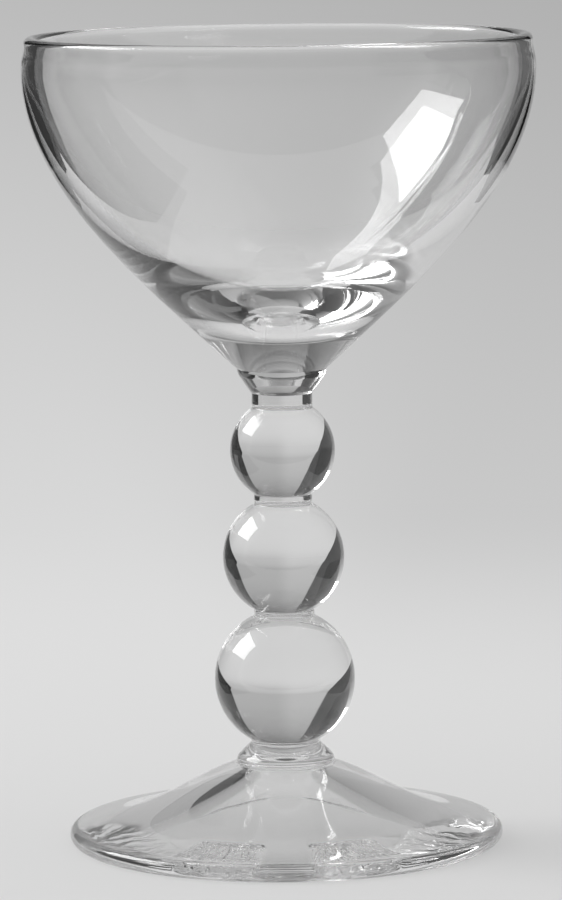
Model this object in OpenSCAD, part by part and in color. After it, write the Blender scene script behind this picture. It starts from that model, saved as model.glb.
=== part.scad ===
// Small cocktail glass of clear glass: a round, shallow bowl with a thick base,
// a flared collar, three balls that grow towards the bottom, and a low foot.
// Every piece is turned about the Z axis. The foot stands on Z = 0.

/* [Bowl] */
// Widest outside diameter of the bowl
bowl_d = 85; // [80:0.5:92]
// Height of the bowl, from its seat on the collar to the rim
bowl_h = 55.4; // [51:0.2:62]
// Diameter of the flat seat under the bowl
bowl_seat_d = 14.9; // [14.4:0.1:16]
// Angle at which the outside leaves the seat, above the horizontal
bowl_flare_angle = 43; // [38:1:48]
// Length over which the outside keeps close to that angle
bowl_flare_reach = 20.5; // [18:0.5:23]
// Length over which the outside turns upright below its widest place
bowl_shoulder_reach = 19.5; // [17:0.5:22]
// Depth of the widest place below the rim
bowl_widest_drop = 5.5; // [4:0.5:8]
// How far the outside draws in between its widest place and the lip
bowl_incurve = 0.5; // [0:0.1:1]
// Thickness of the wall at the lip and at the widest place
wall = 2.2; // [1.6:0.1:2.8]
// Thickness of the glass at the middle of the base
base_thickness = 9.7; // [7:0.1:11]
// Length over which the floor of the inside stays nearly flat
floor_reach = 17; // [14:0.5:19]
// Length over which the inside turns upright below its widest place
inner_shoulder_reach = 16.5; // [14:0.5:18]

/* [Collar under the bowl] */
// Height of the collar's straight neck, up to the small step above it
collar_neck_h = 2.55; // [1.5:0.05:3.5]
// Width and height of the small step where the flare begins
collar_step = 0.25; // [0.1:0.05:0.6]
// Height of the flare, from the step to the band
collar_flare_h = 2.6; // [2:0.1:3.4]
// Diameter of the band where the flare meets it
collar_band_d = 14.1; // [13.2:0.1:14.4]
// Height of the nearly upright band that carries the bowl
collar_band_h = 1.25; // [0.6:0.05:2]

/* [Balls of the stem] */
// Diameter of the upper ball
upper_ball_d = 17.5; // [15:0.1:19]
// Diameter of the middle ball
middle_ball_d = 20.3; // [18:0.1:22]
// Diameter of the lower ball
lower_ball_d = 23.5; // [21:0.1:26]
// Diameter of the neck between the bowl's collar and the upper ball
top_neck_d = 10.1; // [8.5:0.1:11.5]
// Diameter of the neck between the upper and middle balls
upper_neck_d = 9.7; // [8.5:0.1:11]
// Straight length of that neck
upper_neck_h = 1.4; // [0.6:0.1:2.2]
// Diameter of the neck between the middle and lower balls
lower_neck_d = 10.1; // [8.8:0.1:11.5]
// Straight length of that neck
lower_neck_h = 0.8; // [0.4:0.1:1.6]
// Diameter of the neck between the lower ball and the foot's collar
bottom_neck_d = 11.5; // [10.2:0.1:13]
// Radius of the fillet between a ball and the neck above or below it
neck_fillet = 0.3; // [0.15:0.05:0.8]
// Radius of the wider fillet between the lower ball and the foot's collar
bottom_fillet = 0.9; // [0.4:0.1:1.4]

/* [Foot] */
// Outside diameter of the foot
foot_d = 72.7; // [66:0.1:80]
// Height of the foot, up to its collar
foot_h = 13.1; // [12.3:0.1:15]
// Thickness of the foot's rounded edge
foot_edge_thickness = 2.9; // [2.2:0.1:3.6]
// Diameter of the foot's collar where it meets the foot
foot_collar_d = 16.6; // [14.6:0.1:18.6]
// Height of the foot's collar
foot_collar_h = 3.55; // [2.8:0.05:4.5]
// Radius of the rounded lower edge of the foot's collar
foot_collar_round = 0.35; // [0.2:0.05:0.6]
// Angle at which the foot falls away from its collar
foot_fall_angle = 14; // [8:1:22]
// Length over which the foot falls at that angle
foot_fall_reach = 7; // [5:0.5:9]
// Angle of the foot's top where it meets the rounded edge
foot_apron_angle = 3; // [1:0.5:6]
// Length over which the foot's top stays nearly flat, inside the edge
foot_apron_reach = 11; // [8:0.5:13]
// Width of the flat ring that the foot stands on
rest_ring_w = 2.4; // [1.5:0.1:3.5]
// Height of the hollow under the middle of the foot
foot_hollow_h = 10.8; // [7:0.1:11.4]
// Length over which the top of the hollow stays flat
foot_hollow_reach = 9; // [6:0.5:10]
// Angle at which the hollow rises from the ring
foot_skirt_angle = 2; // [0.5:0.5:4]
// Length over which the hollow keeps close to that angle
foot_skirt_reach = 14; // [12:0.5:17]

/* [Hidden] */

// Divisions of one curve and of one arc of a profile
curve_steps = 24;
arc_steps = 12;

// Colour of every piece
glass_tint = [0.88, 0.93, 0.95, 0.45];

// Heights of the balls above and below their centres, up to the straight necks
lower_ball_below = ball_reach(lower_ball_d / 2, bottom_neck_d / 2, bottom_fillet);
lower_ball_above = ball_reach(lower_ball_d / 2, lower_neck_d / 2, neck_fillet);
middle_ball_below = ball_reach(middle_ball_d / 2, lower_neck_d / 2, neck_fillet);
middle_ball_above = ball_reach(middle_ball_d / 2, upper_neck_d / 2, neck_fillet);
upper_ball_below = ball_reach(upper_ball_d / 2, upper_neck_d / 2, neck_fillet);
upper_ball_above = ball_reach(upper_ball_d / 2, top_neck_d / 2, neck_fillet);

// Heights of the seams and of the balls' centres. A seam between two balls is half way up the neck
foot_collar_z = foot_h;
lower_ball_z = foot_collar_z + foot_collar_h;
lower_ball_center_z = lower_ball_z + lower_ball_below;
middle_ball_z = lower_ball_center_z + lower_ball_above + lower_neck_h / 2;
middle_ball_center_z = middle_ball_z + lower_neck_h / 2 + middle_ball_below;
upper_ball_z = middle_ball_center_z + middle_ball_above + upper_neck_h / 2;
upper_ball_center_z = upper_ball_z + upper_neck_h / 2 + upper_ball_below;
bowl_collar_z = upper_ball_center_z + upper_ball_above;
bowl_z = bowl_collar_z + collar_neck_h + collar_flare_h + collar_band_h;
rim_z = bowl_z + bowl_h;
widest_z = rim_z - bowl_widest_drop;

// Distance from a ball's centre to the place where its fillet meets the straight neck
function ball_reach(ball_r, neck_r, fillet_r) =
    sqrt(pow(ball_r + fillet_r, 2) - pow(neck_r + fillet_r, 2));

// Points of a cubic curve, without its first point
function curve(start, start_pull, end_pull, end) = [
    for (i = [1 : curve_steps])
        let (t = i / curve_steps, s = 1 - t)
        pow(s, 3) * start + 3 * pow(s, 2) * t * start_pull + 3 * s * pow(t, 2) * end_pull + pow(t, 3) * end
];

// Points of an arc, without its first point
function arc(center, r, from_angle, to_angle) = [
    for (i = [1 : arc_steps])
        let (a = from_angle + (to_angle - from_angle) * i / arc_steps)
        center + r * [cos(a), sin(a)]
];

// A length laid off at an angle
function along(length, angle) = length * [cos(angle), sin(angle)];

// Turns a profile of [radius, height] points about the Z axis
module turned(profile) {
    color(glass_tint)
        rotate_extrude($fn = 180)
            polygon(profile);
}

// A ball between two necks. below and above each give a neck: its radius, its fillet and the length of
// its straight stub
module ball(center_z, ball_r, below, above) {
    fillet_below = [below[0] + below[1], center_z - ball_reach(ball_r, below[0], below[1])];
    fillet_above = [above[0] + above[1], center_z + ball_reach(ball_r, above[0], above[1])];
    angle_below = atan2(fillet_below[1] - center_z, fillet_below[0]);
    angle_above = atan2(fillet_above[1] - center_z, fillet_above[0]);
    bottom_z = fillet_below[1] - below[2];
    top_z = fillet_above[1] + above[2];
    turned(concat(
        [[0, bottom_z], [below[0], bottom_z]],
        below[2] > 0 ? [[below[0], fillet_below[1]]] : [],
        arc(fillet_below, below[1], 180, 180 + angle_below),
        arc([0, center_z], ball_r, angle_below, 0),
        arc([0, center_z], ball_r, 0, angle_above),
        arc(fillet_above, above[1], 180 + angle_above, 180),
        above[2] > 0 ? [[above[0], top_z]] : [],
        [[0, top_z]]
    ));
}

// Low foot with a round edge and an S-shaped top, and a hollow underneath that follows the top
module foot() {
    edge_r = foot_edge_thickness / 2;
    edge_center = [foot_d / 2 - edge_r, edge_r];
    ring = [edge_center[0] - rest_ring_w, 0];
    apron = [edge_center[0], foot_edge_thickness];
    apron_pull = apron + along(foot_apron_reach, 180 - foot_apron_angle);
    shoulder = [foot_collar_d / 2, foot_h];
    shoulder_pull = shoulder + along(foot_fall_reach, -foot_fall_angle);
    hollow = [0, foot_hollow_h];
    skirt_pull = ring + along(foot_skirt_reach, 180 - foot_skirt_angle);
    turned(concat(
        [hollow],
        curve(hollow, hollow + [foot_hollow_reach, 0], skirt_pull, ring),
        [[edge_center[0], 0]],
        arc(edge_center, edge_r, -90, 90),
        curve(apron, apron_pull, shoulder_pull, shoulder),
        [[0, foot_h]]
    ));
}

// Flared collar between the foot and the lower ball
module foot_collar() {
    round_center = [foot_collar_d / 2 - foot_collar_round, foot_collar_z + foot_collar_round];
    flare_end = [bottom_neck_d / 2, lower_ball_z];
    flare_start = round_center + along(foot_collar_round, 45);
    flare_pull = (flare_end - flare_start) / 3;
    turned(concat(
        [[0, foot_collar_z], [round_center[0], foot_collar_z]],
        arc(round_center, foot_collar_round, -90, 45),
        curve(flare_start, flare_start + [0, flare_pull[1]], flare_end - flare_pull, flare_end),
        [[0, lower_ball_z]]
    ));
}

module lower_ball() {
    below = [bottom_neck_d / 2, bottom_fillet, 0];
    above = [lower_neck_d / 2, neck_fillet, lower_neck_h / 2];
    ball(lower_ball_center_z, lower_ball_d / 2, below, above);
}

module middle_ball() {
    below = [lower_neck_d / 2, neck_fillet, lower_neck_h / 2];
    above = [upper_neck_d / 2, neck_fillet, upper_neck_h / 2];
    ball(middle_ball_center_z, middle_ball_d / 2, below, above);
}

module upper_ball() {
    below = [upper_neck_d / 2, neck_fillet, upper_neck_h / 2];
    above = [top_neck_d / 2, neck_fillet, 0];
    ball(upper_ball_center_z, upper_ball_d / 2, below, above);
}

// Straight neck, a small step, a conical flare and a nearly upright band that carries the bowl
module bowl_collar() {
    neck_r = top_neck_d / 2;
    flare_z = bowl_collar_z + collar_neck_h;
    band = [collar_band_d / 2, bowl_z - collar_band_h];
    seat = [bowl_seat_d / 2, bowl_z];
    band_pull = band + [(seat[0] - band[0]) / 2, collar_band_h / 4];
    turned(concat(
        [[0, bowl_collar_z], [neck_r, bowl_collar_z], [neck_r, flare_z - collar_step]],
        [[neck_r + collar_step, flare_z], band],
        curve(band, band_pull, seat - [0, collar_band_h / 4], seat),
        [[0, bowl_z]]
    ));
}

// Bowl with a thick base, a thinner wall and a rounded lip
module bowl() {
    lip_r = wall / 2;
    bowl_r = bowl_d / 2;
    seat = [bowl_seat_d / 2, bowl_z];
    widest = [bowl_r, widest_z];
    lip_center = [bowl_r - bowl_incurve - lip_r, rim_z - lip_r];
    lip_outside = lip_center + [lip_r, 0];
    lip_inside = lip_center - [lip_r, 0];
    lip_pull = [0, (lip_center[1] - widest_z) / 2];
    inner_widest = [bowl_r - wall, widest_z];
    inner_floor = [0, bowl_z + base_thickness];
    turned(concat(
        [[0, bowl_z], seat],
        curve(
            seat,
            seat + along(bowl_flare_reach, bowl_flare_angle),
            widest - [0, bowl_shoulder_reach],
            widest
        ),
        curve(widest, widest + lip_pull, lip_outside - lip_pull, lip_outside),
        arc(lip_center, lip_r, 0, 180),
        curve(lip_inside, lip_inside - lip_pull, inner_widest + lip_pull, inner_widest),
        curve(
            inner_widest,
            inner_widest - [0, inner_shoulder_reach],
            inner_floor + [floor_reach, 0],
            inner_floor
        )
    ));
}

foot();
foot_collar();
lower_ball();
middle_ball();
upper_ball();
bowl_collar();
bowl();
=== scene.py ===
# Small clear cocktail glass: a round bowl on a stem of three graduated balls and a low foot.
# Everything is in metres. The glass stands on Z = 0 with its axis on Z.

import math

import bmesh
import bpy
from mathutils import Matrix, Vector


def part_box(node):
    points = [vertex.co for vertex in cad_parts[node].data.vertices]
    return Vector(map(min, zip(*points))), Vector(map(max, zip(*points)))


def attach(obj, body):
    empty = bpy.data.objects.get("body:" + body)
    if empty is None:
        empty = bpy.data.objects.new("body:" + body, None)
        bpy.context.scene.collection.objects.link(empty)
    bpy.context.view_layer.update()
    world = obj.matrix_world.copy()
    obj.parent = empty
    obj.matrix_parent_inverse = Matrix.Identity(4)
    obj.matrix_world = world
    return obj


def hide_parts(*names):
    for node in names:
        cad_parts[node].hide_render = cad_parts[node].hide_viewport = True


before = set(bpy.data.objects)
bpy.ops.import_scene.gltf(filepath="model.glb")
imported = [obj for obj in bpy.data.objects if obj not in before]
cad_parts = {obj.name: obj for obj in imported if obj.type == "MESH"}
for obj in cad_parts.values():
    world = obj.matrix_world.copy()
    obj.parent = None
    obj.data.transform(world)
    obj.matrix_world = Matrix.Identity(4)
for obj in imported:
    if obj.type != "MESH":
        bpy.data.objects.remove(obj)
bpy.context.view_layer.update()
mm = 0.001
scene = bpy.context.scene
scene.view_settings.view_transform = "Standard"

# Light turns round many times inside thick glass, and each turn counts as a bounce. Where it is cut
# short the glass goes black.
turns_in_glass = 32
scene.cycles.max_bounces = turns_in_glass
scene.cycles.glossy_bounces = turns_in_glass
scene.cycles.transmission_bounces = turns_in_glass
scene.cycles.transparent_max_bounces = turns_in_glass

# Camera
# A long lens, slightly above the rim, looks down on the glass and leans a little, as in the picture.
# It looks from the back left corner, so the dark sides of the set stay out of the other views.
camera_distance = 825 * mm
camera_height = 172 * mm
camera_down = math.radians(7.33)
camera_lean = math.radians(-0.62)
camera_aside = -0.25 * mm
camera_side = math.radians(-135)
photo_frame = Matrix.Rotation(camera_side, 4, "Z")
camera_data = bpy.data.cameras.new("camera")
camera_data.lens = 199.7
camera_data.sensor_width = 36
camera_data.clip_start = 10 * mm
camera_data.clip_end = 50
camera = bpy.data.objects.new("camera", camera_data)
scene.collection.objects.link(camera)
camera.matrix_world = (
    photo_frame
    @ Matrix.Translation((camera_aside, -camera_distance, camera_height))
    @ Matrix.Rotation(math.pi / 2 - camera_down, 4, "X")
    @ Matrix.Rotation(camera_lean, 4, "Z")
)
scene.camera = camera


# Foot
# A low disc of clear glass with an S-shaped top, a fire-polished round edge and a hollow underneath
# that follows the top. It is spun flat while hot, so it keeps the deepest ripples of any piece, and
# fine crinkles under its outer ring where the tool chilled it.
class Shade:
    """A value in a material: sums and products of it add Math nodes."""

    def __init__(self, tree, socket=None):
        self.tree = tree
        self.socket = socket

    def node(self, kind, settings=(), sockets=(), output=0):
        made = self.tree.nodes.new("ShaderNode" + kind)
        for name, value in dict(settings).items():
            setattr(made, name, value)
        for name, value in dict(sockets).items():
            if isinstance(value, Shade):
                self.tree.links.new(value.socket, made.inputs[name])
            else:
                made.inputs[name].default_value = value
        return Shade(self.tree, made.outputs[output]) if made.outputs else None

    def math(self, operation, first, second=0):
        return self.node("Math", {"operation": operation}, {0: first, 1: second})

    def __add__(self, other):
        return self.math("ADD", self, other)

    def __radd__(self, other):
        return self.math("ADD", other, self)

    def __sub__(self, other):
        return self.math("SUBTRACT", self, other)

    def __rsub__(self, other):
        return self.math("SUBTRACT", other, self)

    def __mul__(self, other):
        return self.math("MULTIPLY", self, other)

    def __rmul__(self, other):
        return self.math("MULTIPLY", other, self)


def empty_tree(owner):
    owner.use_nodes = True
    owner.node_tree.nodes.clear()
    return Shade(owner.node_tree)


def fused_seam():
    """Where two gathers are fused there is no surface left for light to meet."""
    material = bpy.data.materials.new("fused_seam")
    tree = empty_tree(material)
    through = tree.node("BsdfTransparent", (), {"Color": (1, 1, 1, 1)})
    tree.node("OutputMaterial", (), {"Surface": through})
    return material


def on_photo_axis(tree, direction, axis):
    """How far a point or direction lies along an axis of the camera: (1, 0) right or (0, 1) away."""
    across = photo_frame @ Vector((axis[0], axis[1], 0))
    return tree.node("VectorMath", {"operation": "DOT_PRODUCT"}, {0: direction, 1: across}, "Value")


def soft_step(tree, value, start, end, first=0, last=1):
    settings = {"interpolation_type": "SMOOTHSTEP"}
    sockets = {"Value": value, "From Min": start, "From Max": end, "To Min": first, "To Max": last}
    return tree.node("MapRange", settings, sockets)


def crinkles(tree, place):
    """Fine crinkles under the foot's outer ring, on either side of a calm strip at its front and back.
    They are given in units of the height of the ripples."""
    grain_width, grain_length = 1.5 * mm, 4 * mm
    ring_inner, ring_middle, ring_outer = 24 * mm, 28 * mm, 31.5 * mm
    underside_top = 2 * mm
    crinkle_height = 60
    flat = tree.node("VectorMath", {"operation": "MULTIPLY"}, {0: place, 1: (1, 1, 0)})
    reach = tree.node("VectorMath", {"operation": "LENGTH"}, {0: flat}, "Value")
    course = tree.node("VectorMath", {"operation": "NORMALIZE"}, {0: flat})
    height = tree.node("SeparateXYZ", (), {0: place}, "Z")
    right = on_photo_axis(tree, course, (1, 0))
    aside = tree.math("ABSOLUTE", right)
    ring = soft_step(tree, reach, ring_inner - 1 * mm, ring_inner + 1 * mm)
    ring = ring * soft_step(tree, reach, ring_outer - 0.5 * mm, ring_outer + 0.5 * mm, 1, 0)
    underside = soft_step(tree, height, underside_top, underside_top + 0.6 * mm, 1, 0)
    sides = soft_step(tree, aside, 0.12, 0.22) * soft_step(tree, aside, 0.4, 0.6, 1, 0)
    round_ring = right * (ring_middle / grain_width)
    polar = tree.node("CombineXYZ", (), {0: round_ring, 1: reach * (1 / grain_length), 2: 0})
    settings = {"noise_dimensions": "3D"}
    sockets = {"Vector": polar, "Scale": 1, "Detail": 2, "Roughness": 0.5, "Distortion": 1}
    return tree.node("TexNoise", settings, sockets) * ring * underside * sides * crinkle_height


def clear_glass(name, ripple_width, ripple_height, haze, tone, shade, fine_relief=None):
    """Fire-polished colourless glass: slow ripples from hot working, finer relief where a piece has
    it, and a faint uneven haze. For lamps and for the light between floor and room it is a clear
    sheet that keeps back a shade."""
    material = bpy.data.materials.new(name)
    tree = empty_tree(material)
    place = tree.node("TexCoord", (), (), "Object")
    ripple = tree.node(
        "TexNoise",
        {"noise_dimensions": "3D"},
        {"Vector": place, "Scale": 1 / ripple_width, "Detail": 2, "Roughness": 0.4, "Distortion": 0.3},
    )
    if fine_relief:
        ripple = ripple + fine_relief(tree, place)
    smears = tree.node("TexNoise", (), {"Vector": place, "Scale": 60, "Detail": 4, "Roughness": 0.6})
    relief = tree.node("Bump", (), {"Strength": 1, "Distance": ripple_height, "Height": ripple})
    glass = tree.node(
        "BsdfPrincipled",
        (),
        {
            "Base Color": (tone, tone, tone, 1),
            "Roughness": smears * haze,
            "IOR": 1.52,
            "Transmission Weight": 1,
            "Normal": relief,
        },
    )
    sheet = tree.node("BsdfTransparent", (), {"Color": (1 - shade, 1 - shade, 1 - shade, 1)})
    shadow = tree.node("LightPath", (), (), "Is Shadow Ray")
    lamp_light = shadow + tree.node("LightPath", (), (), "Is Diffuse Ray")
    surface = tree.node("MixShader", (), {0: lamp_light, 1: glass, 2: sheet})
    tree.node("OutputMaterial", (), {"Surface": surface})
    return material


def curve(start, start_pull, end_pull, end, steps=40):
    """Points of a cubic curve, without its first point."""
    points = []
    for i in range(1, steps + 1):
        t = i / steps
        s = 1 - t
        points.append(s**3 * start + 3 * s * s * t * start_pull + 3 * s * t * t * end_pull + t**3 * end)
    return points


def arc(centre, radius, from_degrees, to_degrees, steps=16):
    """Points of an arc, without its first point."""
    points = []
    for i in range(1, steps + 1):
        points.append(centre + along(radius, from_degrees + (to_degrees - from_degrees) * i / steps))
    return points


def along(length, degrees):
    return length * Vector((math.cos(math.radians(degrees)), math.sin(math.radians(degrees))))


def turned(name, outline, seams, material):
    """Spins an outline of (radius, height) points into a closed piece that stands for its CAD node.
    Flat faces at the heights in seams are fused to the next piece."""
    sides = 192
    bm = bmesh.new()
    verts = [bm.verts.new((point.x, 0, point.y)) for point in outline]
    edges = [bm.edges.new(pair) for pair in zip(verts, verts[1:])]
    bmesh.ops.spin(
        bm,
        geom=verts + edges,
        cent=(0, 0, 0),
        axis=(0, 0, 1),
        angle=2 * math.pi,
        steps=sides,
        use_merge=True,
    )
    bmesh.ops.remove_doubles(bm, verts=bm.verts, dist=0.0005 * mm)
    bmesh.ops.recalc_face_normals(bm, faces=bm.faces)
    crease = math.radians(25)
    for edge in bm.edges:
        edge.smooth = edge.calc_face_angle(0) < crease
    for face in bm.faces:
        face.smooth = True
        height = face.calc_center_median().z
        is_flat = abs(face.normal.z) > 0.999
        face.material_index = int(is_flat and any(abs(height - seam) < 0.01 * mm for seam in seams))
    mesh = bpy.data.meshes.new(name)
    bm.to_mesh(mesh)
    bm.free()
    mesh.materials.append(material)
    mesh.materials.append(seam_material)
    piece = bpy.data.objects.new(name, mesh)
    scene.collection.objects.link(piece)
    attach(piece, "root")
    return piece


seam_material = fused_seam()
foot_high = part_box("foot")[1]
foot_top = foot_high.z
edge_radius = 1.45 * mm
edge_centre = Vector((foot_high.x - edge_radius, edge_radius))
rest_ring_width = 2.4 * mm
ring_inside = Vector((edge_centre.x - rest_ring_width, 0))
hollow = Vector((0, 10.8 * mm))
hollow_pull = Vector((9 * mm, 0))
ring_pull = along(14 * mm, 178)
apron = Vector((edge_centre.x, 2 * edge_radius))
shoulder = Vector((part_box("foot_collar")[1].x, foot_top))
apron_pull = along(11 * mm, 177)
shoulder_pull = along(7 * mm, -14)
foot_outline = [hollow]
foot_outline += curve(hollow, hollow + hollow_pull, ring_inside + ring_pull, ring_inside)
foot_outline += [Vector((edge_centre.x, 0))]
foot_outline += arc(edge_centre, edge_radius, -90, 90)
foot_outline += curve(apron, apron + apron_pull, shoulder + shoulder_pull, shoulder)
foot_outline += [Vector((0, foot_top))]
foot_glass = clear_glass(
    "foot_glass",
    ripple_width=9 * mm,
    ripple_height=0.02 * mm,
    haze=0.02,
    tone=0.96,
    shade=0.06,
    fine_relief=crinkles,
)
foot = turned("foot_visual", foot_outline, [foot_top], foot_glass)
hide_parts("foot")


# Foot collar
# A short flared ring of clear glass between the foot and the stem, pinched round while hot.
collar_low, collar_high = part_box("foot_collar")
bottom_neck_radius = 5.75 * mm
collar_round = 0.35 * mm
round_centre = Vector((collar_high.x - collar_round, collar_low.z + collar_round))
flare_start = round_centre + along(collar_round, 45)
flare_end = Vector((bottom_neck_radius, collar_high.z))
flare_pull = (flare_end - flare_start) / 3
foot_collar_outline = [Vector((0, collar_low.z)), Vector((round_centre.x, collar_low.z))]
foot_collar_outline += arc(round_centre, collar_round, -90, 45)
foot_collar_outline += curve(
    flare_start, flare_start + Vector((0, flare_pull.y)), flare_end - flare_pull, flare_end
)
foot_collar_outline += [Vector((0, collar_high.z))]
stem_glass = clear_glass(
    "stem_glass", ripple_width=7 * mm, ripple_height=0.003 * mm, haze=0.01, tone=0.93, shade=0.3
)
foot_collar = turned(
    "foot_collar_visual", foot_collar_outline, [collar_low.z, collar_high.z], stem_glass
)
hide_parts("foot_collar")


# Balls of the stem
# Three solid balls of clear glass that grow towards the foot, each with its filleted stubs of neck.
# They are formed in wet blocks and fused neck to neck, so they are the smoothest pieces.
def ball(node, below, above):
    """below and above each give a neck: its radius, its fillet and the length of its straight stub"""
    low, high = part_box(node)
    radius = high.x
    neck_below, fillet_below, stub_below = below
    neck_above, fillet_above, stub_above = above
    reach_below = math.sqrt((radius + fillet_below) ** 2 - (neck_below + fillet_below) ** 2)
    reach_above = math.sqrt((radius + fillet_above) ** 2 - (neck_above + fillet_above) ** 2)
    centre = Vector((0, low.z + stub_below + reach_below))
    corner_below = centre + Vector((neck_below + fillet_below, -reach_below))
    corner_above = centre + Vector((neck_above + fillet_above, reach_above))
    angle_below = math.degrees(math.atan2(-reach_below, corner_below.x))
    angle_above = math.degrees(math.atan2(reach_above, corner_above.x))
    outline = [Vector((0, low.z)), Vector((neck_below, low.z))]
    if stub_below > 0:
        outline += [Vector((neck_below, corner_below.y))]
    outline += arc(corner_below, fillet_below, 180, 180 + angle_below)
    outline += arc(centre, radius, angle_below, angle_above, 64)
    outline += arc(corner_above, fillet_above, 180 + angle_above, 180)
    if stub_above > 0:
        outline += [Vector((neck_above, high.z))]
    outline += [Vector((0, high.z))]
    piece = turned(node + "_visual", outline, [low.z, high.z], stem_glass)
    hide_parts(node)


top_neck_radius = 5.05 * mm
bottom_neck = (bottom_neck_radius, 0.9 * mm, 0)
lower_neck = (5.05 * mm, 0.3 * mm, 0.4 * mm)
upper_neck = (4.85 * mm, 0.3 * mm, 0.7 * mm)
top_neck = (top_neck_radius, 0.3 * mm, 0)
ball("lower_ball", bottom_neck, lower_neck)
ball("middle_ball", lower_neck, upper_neck)
ball("upper_ball", upper_neck, top_neck)


# Bowl collar
# A straight neck, a small step, a cone and a nearly upright band of clear glass that carries the
# bowl. It is drawn out of the stem and fused to the bowl's seat.
bowl_collar_low, bowl_collar_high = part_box("bowl_collar")
seat = Vector((bowl_collar_high.x, bowl_collar_high.z))
step = 0.25 * mm
flare_z = bowl_collar_low.z + 2.55 * mm
band_height = 1.25 * mm
band = Vector((7.05 * mm, seat.y - band_height))
bowl_collar_outline = [
    Vector((0, bowl_collar_low.z)),
    Vector((top_neck_radius, bowl_collar_low.z)),
    Vector((top_neck_radius, flare_z - step)),
    Vector((top_neck_radius + step, flare_z)),
    band,
]
band_pull = Vector(((seat.x - band.x) / 2, band_height / 4))
seat_pull = Vector((0, band_height / 4))
bowl_collar_outline += curve(band, band + band_pull, seat - seat_pull, seat)
bowl_collar_outline += [Vector((0, seat.y))]
bowl_collar = turned(
    "bowl_collar_visual", bowl_collar_outline, [bowl_collar_low.z, seat.y], stem_glass
)
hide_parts("bowl_collar")


# Bowl
# A blown bowl of clear glass with a thick base, a thinner wall that draws in a little at the top,
# and a rounded, fire-polished lip. Its seat is fused to the collar.
bowl_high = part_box("bowl")[1]
bowl_radius = bowl_high.x
rim_z = bowl_high.z
wall = 2.2 * mm
lip_radius = wall / 2
incurve = 0.5 * mm
widest = Vector((bowl_radius, rim_z - 5.5 * mm))
lip_centre = Vector((bowl_radius - incurve - lip_radius, rim_z - lip_radius))
lip_outside = lip_centre + Vector((lip_radius, 0))
lip_inside = lip_centre - Vector((lip_radius, 0))
lip_pull = Vector((0, (lip_centre.y - widest.y) / 2))
inner_widest = widest - Vector((wall, 0))
inner_floor = Vector((0, seat.y + 9.7 * mm))
cone_pull = along(20.5 * mm, 43)
outer_wall_pull = Vector((0, 19.5 * mm))
inner_wall_pull = Vector((0, 16.5 * mm))
inner_floor_pull = Vector((17 * mm, 0))
bowl_outline = [Vector((0, seat.y)), seat]
bowl_outline += curve(seat, seat + cone_pull, widest - outer_wall_pull, widest, 64)
bowl_outline += curve(widest, widest + lip_pull, lip_outside - lip_pull, lip_outside, 12)
bowl_outline += arc(lip_centre, lip_radius, 0, 180, 24)
bowl_outline += curve(lip_inside, lip_inside - lip_pull, inner_widest + lip_pull, inner_widest, 12)
bowl_outline += curve(
    inner_widest, inner_widest - inner_wall_pull, inner_floor + inner_floor_pull, inner_floor, 64
)
bowl_glass = clear_glass(
    "bowl_glass", ripple_width=16 * mm, ripple_height=0.006 * mm, haze=0.01, tone=0.97, shade=0.15
)
bowl = turned("bowl_visual", bowl_outline, [seat.y], bowl_glass)
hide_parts("bowl")


# Floor
# A wide pale sheet of paper under the glass. Near the glass it takes light and shadow; further off it
# glows in the pale grey of the background with painted light, brighter towards the glass and a little
# brighter on the left.
def left_to_right(tree, direction):
    """Share of light, painted into the floor, the background and the room: brighter on the camera's
    left, where the softbox stands, than on its right.
    """
    return soft_step(tree, on_photo_axis(tree, direction, (1, 0)), -0.113, 0.113, 1.08, 0.92)


background_grey = 0.46
falloff_distance = 1.3
paper = bpy.data.materials.new("paper")
tree = empty_tree(paper)
place = tree.node("TexCoord", (), (), "Object")
distance = tree.node("VectorMath", {"operation": "LENGTH"}, {0: place}, "Value")
course = tree.node("VectorMath", {"operation": "NORMALIZE"}, {0: place})
# Painted light: further off the paper glows instead of taking lamp light. It is brighter towards the
# glass, as if lit by the nearby lamps, and a little brighter on the left.
falloff = tree.math("EXPONENT", distance * (-1 / falloff_distance))
seen = tree.node("LightPath", (), (), "Is Camera Ray")
seen_grey = falloff * 0.235 + background_grey
grey_in_glass = falloff * 0.18 + 0.47
far_painted_light = (seen * seen_grey + (1 - seen) * grey_in_glass) * left_to_right(tree, course)
near_paper = tree.node("BsdfDiffuse", (), {"Color": (0.71, 0.71, 0.71, 1)})
far_paper_painted_light = tree.node("Emission", (), {"Color": far_painted_light, "Strength": 1})
further_off = soft_step(tree, distance, 0.12, 0.4)
both = tree.node("MixShader", (), {0: further_off, 1: near_paper, 2: far_paper_painted_light})
tree.node("OutputMaterial", (), {"Surface": both})
bm = bmesh.new()
bmesh.ops.create_circle(bm, cap_ends=True, segments=96, radius=6)
bmesh.ops.translate(bm, verts=bm.verts, vec=(0, 0, -0.02 * mm))
floor_mesh = bpy.data.meshes.new("floor")
bm.to_mesh(floor_mesh)
bm.free()
floor_mesh.materials.append(paper)
floor = bpy.data.objects.new("floor", floor_mesh)
scene.collection.objects.link(floor)


# Dark table
# Past the paper's edges the glass sees a dark table, a card behind it and a flag close by on either
# side, and a rod at the right, which give it its dark edges. The table in front only shows in
# reflections. The camera and the floor see none of them.
def dark_sheet(name, outline, grey):
    """outline holds (right, away, up) points on the camera's axes, in metres"""
    bm = bmesh.new()
    bm.faces.new([bm.verts.new(photo_frame @ Vector(point)) for point in outline])
    mesh = bpy.data.meshes.new(name)
    bm.to_mesh(mesh)
    bm.free()
    material = bpy.data.materials.new(name)
    tree = empty_tree(material)
    matt = tree.node("Emission", (), {"Color": (grey, grey, grey, 1), "Strength": 1})
    tree.node("OutputMaterial", (), {"Surface": matt})
    mesh.materials.append(material)
    sheet = bpy.data.objects.new(name, mesh)
    scene.collection.objects.link(sheet)
    sheet.visible_camera = sheet.visible_diffuse = sheet.visible_shadow = False
    return sheet


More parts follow.
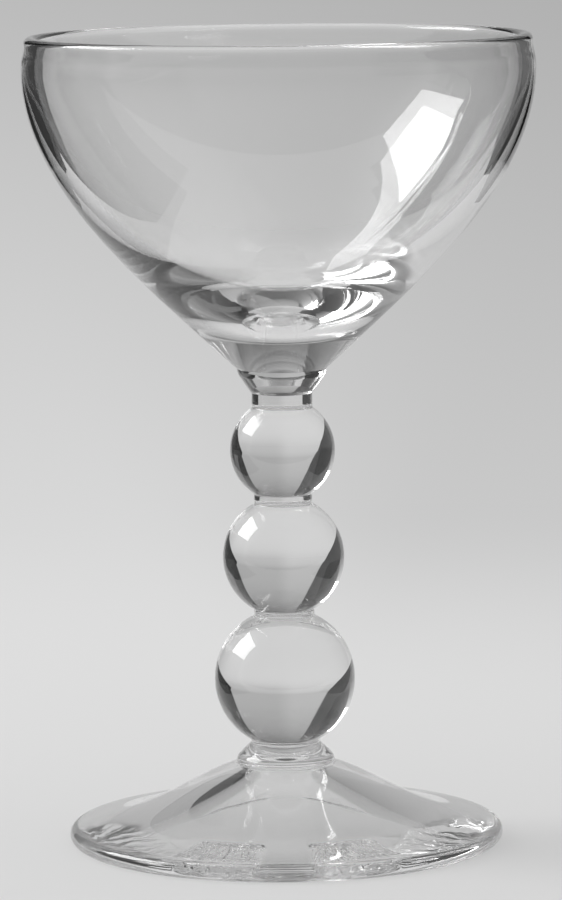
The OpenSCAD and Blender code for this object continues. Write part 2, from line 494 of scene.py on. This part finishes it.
def table_sheet(name, outline, grey):
    """outline holds (right, away) points; it lies just above the floor"""
    return dark_sheet(name, [(x, y, 0.01 * mm) for x, y in outline], grey)


def standing_sheet(name, away, outline, grey):
    """outline holds (right, up) points; it faces the camera"""
    return dark_sheet(name, [(x, away, z) for x, z in outline], grey)


right_edge = [(0.085, -0.06), (0.085, 0.03), (0.113, 0.067), (0.64, 0.8), (4.2, 5), (6, 2), (6, -0.52)]
left_edge = [(-0.085, -0.06), (-0.085, 0.035), (-0.105, 0.084), (-0.18, 0.25), (-0.46, 0.78)]
left_edge += [(-2.6, 4.7), (-6, 2), (-6, -0.52)]
front_edge = [(-6, -0.15), (6, -0.15), (6, -6), (-6, -6)]
table_sheet("right_table", right_edge, 0.002)
table_sheet("left_table", left_edge, 0.075)
front_table = table_sheet("front_table", front_edge, 0.03)
front_table.visible_transmission = False

right_side = [(0.475, 0), (0.42, 0.061), (0.39, 0.105), (0.365, 0.16), (0.35, 0.262), (0.338, 0.335)]
right_side += [(0.32, 0.6), (0.8, 0.6), (0.8, 0)]
left_side = [(-0.43, 0), (-0.396, 0.027), (-0.347, 0.084), (-0.315, 0.141), (-0.293, 0.211)]
left_side += [(-0.263, 0.284), (-0.242, 0.375), (-0.228, 0.476), (-0.199, 0.674), (-0.19, 0.8)]
left_side += [(-1.3, 0.8), (-1.3, 0)]
standing_sheet("right_card", 0.5, right_side, 0.03)
standing_sheet("left_card", 0.744, left_side, 0.085)

near_side = [(-0.25, 0.04), (-0.11, 0.042), (-0.096, 0.05), (-0.085, 0.075), (-0.081, 0.096)]
near_side += [(-0.08, 0.25), (-0.25, 0.25)]
rod_side = [(0.07, 0.075), (0.081, 0.065), (0.081, 0.2), (0.07, 0.2)]
flag_side = [(0.081, 0.065), (0.12, 0.065), (0.12, 0.2), (0.081, 0.2)]
standing_sheet("left_flag", 0.15, near_side, 0.05)
standing_sheet("right_rod", 0.08, rod_side, 0.02)
standing_sheet("right_flag", 0.08, flag_side, 0.13)


# Surroundings
# The room as the glass sees it: a pale wall that darkens upwards, a dim gap on either side of the
# picture, a glow round the softbox, and a dark room behind the camera that only shows in reflections.
# The camera sees the floor's grey carried on.
def bearing(tree, direction):
    """Degrees to the right of straight ahead of the camera."""
    right = on_photo_axis(tree, direction, (1, 0))
    ahead = on_photo_axis(tree, direction, (0, 1))
    return right.math("ARCTAN2", right, ahead) * math.degrees(1)


world = bpy.data.worlds.new("studio")
scene.world = world
tree = empty_tree(world)
direction = tree.node("TexCoord", (), (), "Generated")
height = tree.node("SeparateXYZ", (), {0: direction}, "Z")
angle = bearing(tree, direction)
ceiling_grey = 0.1
wall_grey = (0.48 - height * 0.03 - height * height * 0.46) * left_to_right(tree, direction)
wall_grey = tree.math("MAXIMUM", wall_grey, ceiling_grey)

# The near edges of the gaps, in degrees from straight ahead, lean outwards towards the table.
right_gap_edge = tree.math("EXPONENT", height * -6) * 6 + 34.5
left_gap_edge = tree.math("EXPONENT", height * -3.6) * 13 + 15
right_gap = soft_step(tree, angle - right_gap_edge, -1, 1) * soft_step(tree, angle, 130, 140, 1, 0)
left_gap = soft_step(tree, angle + left_gap_edge, -1, 1, 1, 0) * soft_step(tree, angle, -100, -92)
right_grey = soft_step(tree, height, 0.14, 0.17, 0.01, 0.03) + height * height * 0.3
left_grey = 0.1
room = wall_grey * (1 - right_gap - left_gap) + right_gap * right_grey + left_gap * left_grey

reflected = tree.node("LightPath", (), (), "Is Reflection Ray")
behind = soft_step(tree, on_photo_axis(tree, direction, (0, 1)), -0.35, -0.15, 1, 0) * reflected
behind_grey = 0.1
room = room * (1 - behind) + behind * behind_grey

lamp_side = photo_frame @ Vector((-0.779, 0.191, 0.597))
sockets = {0: direction, 1: lamp_side}
towards_lamp = tree.node("VectorMath", {"operation": "DOT_PRODUCT"}, sockets, "Value")
glow = tree.math("EXPONENT", (1 - towards_lamp) * -13) * 1.1

seen = tree.node("LightPath", (), (), "Is Camera Ray")
diffuse = tree.node("LightPath", (), (), "Is Diffuse Ray")
# Painted light: the background the camera sees is a little brighter on the left.
seen_grey = left_to_right(tree, direction) * background_grey
light = seen * seen_grey + diffuse * background_grey + (1 - seen - diffuse) * (room + glow)
background = tree.node("Background", (), {"Color": light, "Strength": 1})
tree.node("OutputWorld", (), {"Surface": background})


# Softboxes
# A rectangular softbox stands high on the left and gives the glass its highlights. A wide dim panel
# overhead fills in the floor, and the glass doesn't show it.
def softbox(name, centre, across, up, brightness):
    """centre, and half the width and height as vectors, in metres on the camera's axes"""
    light = bpy.data.lights.new(name, "AREA")
    light.shape = "RECTANGLE"
    light.size = 2 * across.length
    light.size_y = 2 * up.length
    light.energy = brightness * math.pi * light.size * light.size_y
    lamp = bpy.data.objects.new(name, light)
    scene.collection.objects.link(lamp)
    x = across.normalized()
    z = x.cross(up).normalized()
    y = z.cross(x)
    turn = Matrix((x, y, z)).transposed().to_4x4()
    lamp.matrix_world = photo_frame @ Matrix.Translation(centre) @ turn
    return lamp


lamp_distance = 2.4
lamp_centre = photo_frame.inverted() @ lamp_side * lamp_distance
lamp_half_width = lamp_distance * 0.335
lamp_half_height = lamp_distance * 0.22
lamp_across = lamp_half_width * Vector((-0.14, -0.98, 0.13))
lamp_up = lamp_half_height * Vector((0.546, -0.264, 0.795))
softbox("left_softbox", lamp_centre, lamp_across, lamp_up, 6.7)
panel_centre = Vector((0.12, 0.3, 1.2))
panel = softbox("overhead_panel", panel_centre, Vector((0.84, 0, 0)), Vector((0, 0.72, 0)), 0.6)
panel.visible_glossy = panel.visible_transmission = False
